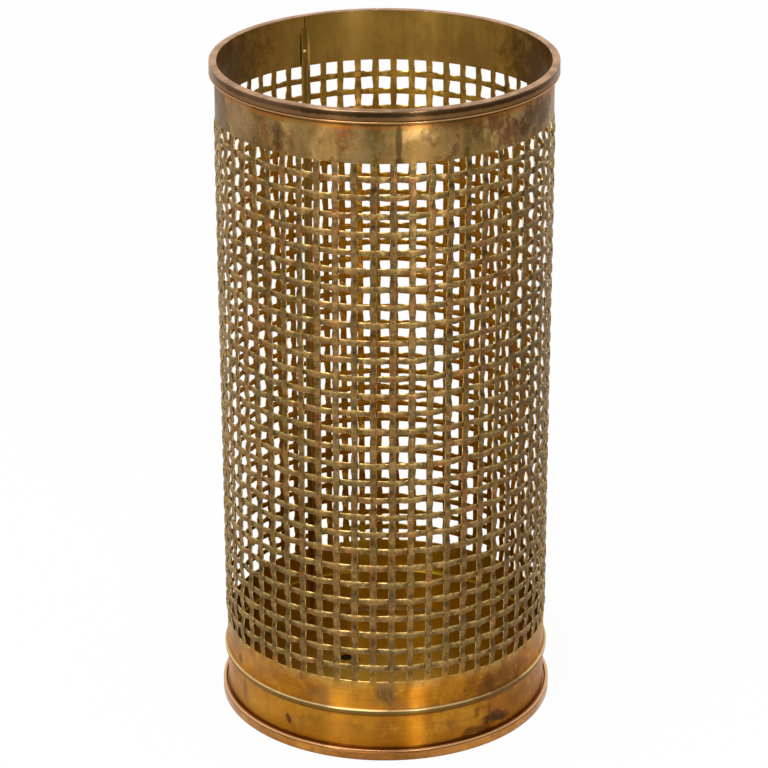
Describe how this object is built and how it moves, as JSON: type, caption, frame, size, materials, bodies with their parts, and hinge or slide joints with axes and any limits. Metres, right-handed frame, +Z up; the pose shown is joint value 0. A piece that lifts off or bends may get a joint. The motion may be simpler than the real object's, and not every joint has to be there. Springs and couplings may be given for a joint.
{
  "type": "umbrella stand",
  "caption": "Round brass umbrella stand with a basket-weave pierced wall, rolled rim, beaded plain base and a shallow pan foot.",
  "frame": {"origin": "centre of the underside, on the floor that the stand rests on", "axes": "+Z up along the axis of the round wall, -Y the side seen in the picture, +X to its right"},
  "size_m": [0.25, 0.25, 0.5],
  "materials": {
    "wall_brass": "aged, tarnished in patches, polished orange near the base",
    "rim_brass": "dark brown tarnish with worn edges",
    "pan_brass": "brushed, orange, darker in the crevice",
    "core_steel": "plain strip, hidden inside the rim",
    "hard_solder": "dull dark spelter"
  },
  "bodies": {
    "root": {"pierced_wall": "wall_brass", "seam_strip": "wall_brass", "seam_rivet_upper": "wall_brass", "seam_rivet_lower": "wall_brass", "top_rim": "rim_brass", "rim_core": "core_steel", "base_pan": "pan_brass", "base_solder": "hard_solder"}
  },
  "joints": []
}
